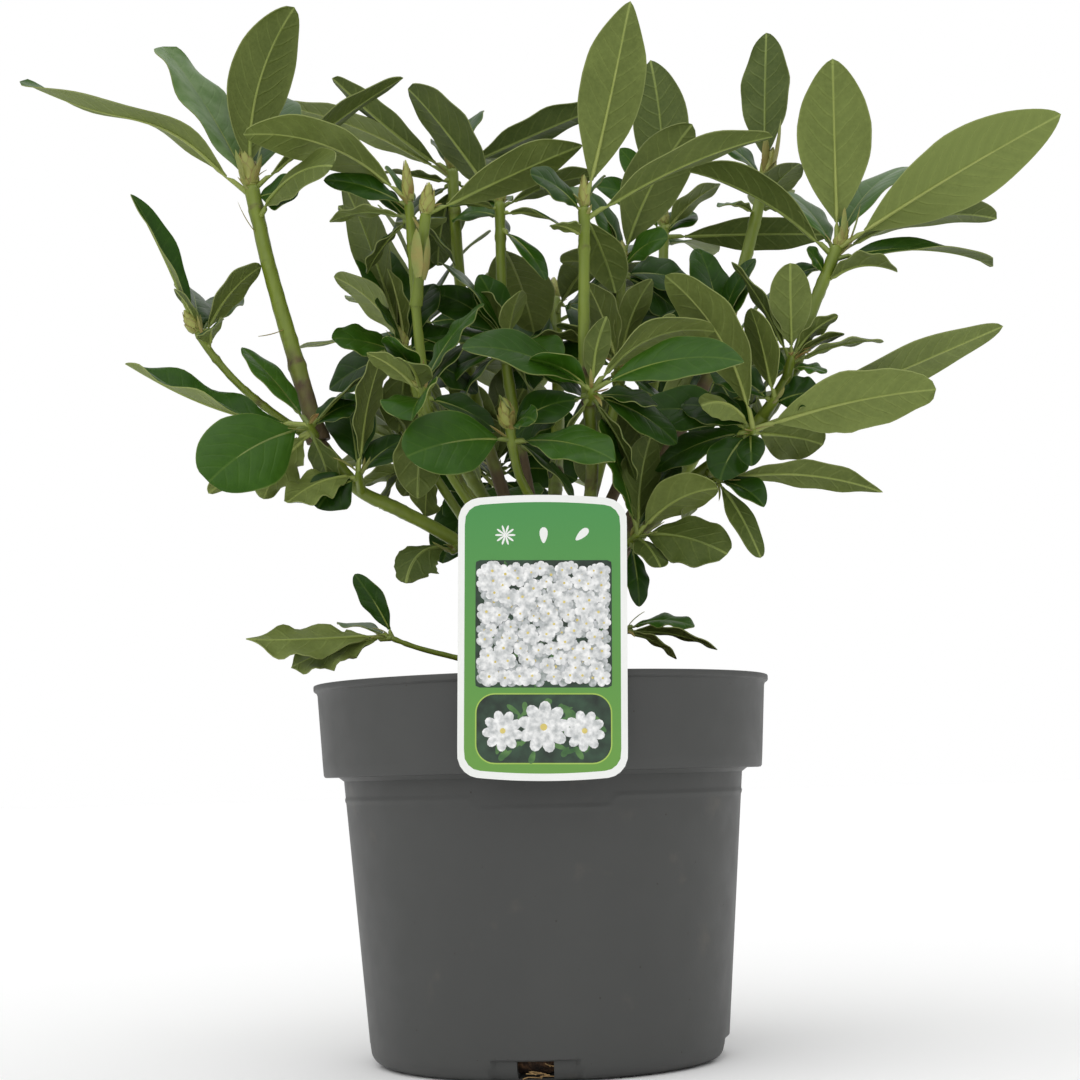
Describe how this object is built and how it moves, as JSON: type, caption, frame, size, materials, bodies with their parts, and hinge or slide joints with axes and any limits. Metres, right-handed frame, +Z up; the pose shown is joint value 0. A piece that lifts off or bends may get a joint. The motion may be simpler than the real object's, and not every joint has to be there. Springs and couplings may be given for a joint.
{
  "type": "potted evergreen shrub",
  "caption": "Young evergreen shrub with whorls of long oval leaves on forking stems, standing in a round plastic nursery pot with a picture label.",
  "frame": {"origin": "centre of the pot's flat underside", "axes": "+Z up, +X to the plant's right as seen from the front, -Y towards the front, where the label hangs"},
  "size_m": [0.5302, 0.3304, 0.551],
  "materials": {
    "pot": "moulded dark grey polypropylene, semi-matt",
    "potting_mix": "dark crumbly potting mix of bark and coir",
    "label": "printed glossy plastic sheet with a white border",
    "bark": "brown flaking bark",
    "green_wood": "smooth yellow-green young stems with ring scars",
    "foliage": "leathery glossy green leaves with olive undersides"
  },
  "bodies": {
    "root": {"pot": "pot", "potting_mix": "potting_mix", "label": "label", "trunk": "bark", "left_bough": "green_wood", "left_top_bough": "green_wood", "left_outer_bough": "green_wood", "low_left_twig": "green_wood", "low_right_twig": "green_wood", "right_bough": "green_wood", "back_right_bough": "green_wood", "centre_bough": "green_wood", "left_centre_bough": "green_wood", "rear_left_stem": "green_wood", "middle_stem": "green_wood", "right_centre_stem": "green_wood", "rear_right_stem": "green_wood", "front_stem": "green_wood", "front_left_stem": "green_wood", "left_inner_stem": "green_wood", "left_low_stem": "green_wood", "back_left_stem": "green_wood", "back_stem": "green_wood", "back_low_stem": "green_wood", "back_right_stem": "green_wood", "left_top_leaves": "foliage", "left_outer_leaves": "foliage", "left_fork_leaves": "foliage", "left_side_leaves": "foliage", "left_low_leaves": "foliage", "left_inner_leaves": "foliage", "low_left_leaves": "foliage", "under_left_leaves": "foliage", "left_centre_leaves": "foliage", "bud_shoot": "foliage", "rear_left_leaves": "foliage", "middle_leaves": "foliage", "middle_node_leaves": "foliage", "centre_leaves": "foliage", "centre_node_leaves": "foliage", "right_centre_leaves": "foliage", "right_centre_node_leaves": "foliage", "rear_right_leaves": "foliage", "back_right_leaves": "foliage", "back_right_node_leaves": "foliage", "right_top_leaves": "foliage", "right_side_leaves": "foliage", "right_middle_leaves": "foliage", "right_front_leaves": "foliage", "right_under_leaves": "foliage", "low_centre_leaves": "foliage", "low_right_leaves": "foliage", "front_leaves": "foliage", "front_left_leaves": "foliage", "back_left_leaves": "foliage", "back_leaves": "foliage", "back_low_leaves": "foliage", "back_right_side_leaves": "foliage"}
  },
  "joints": []
}
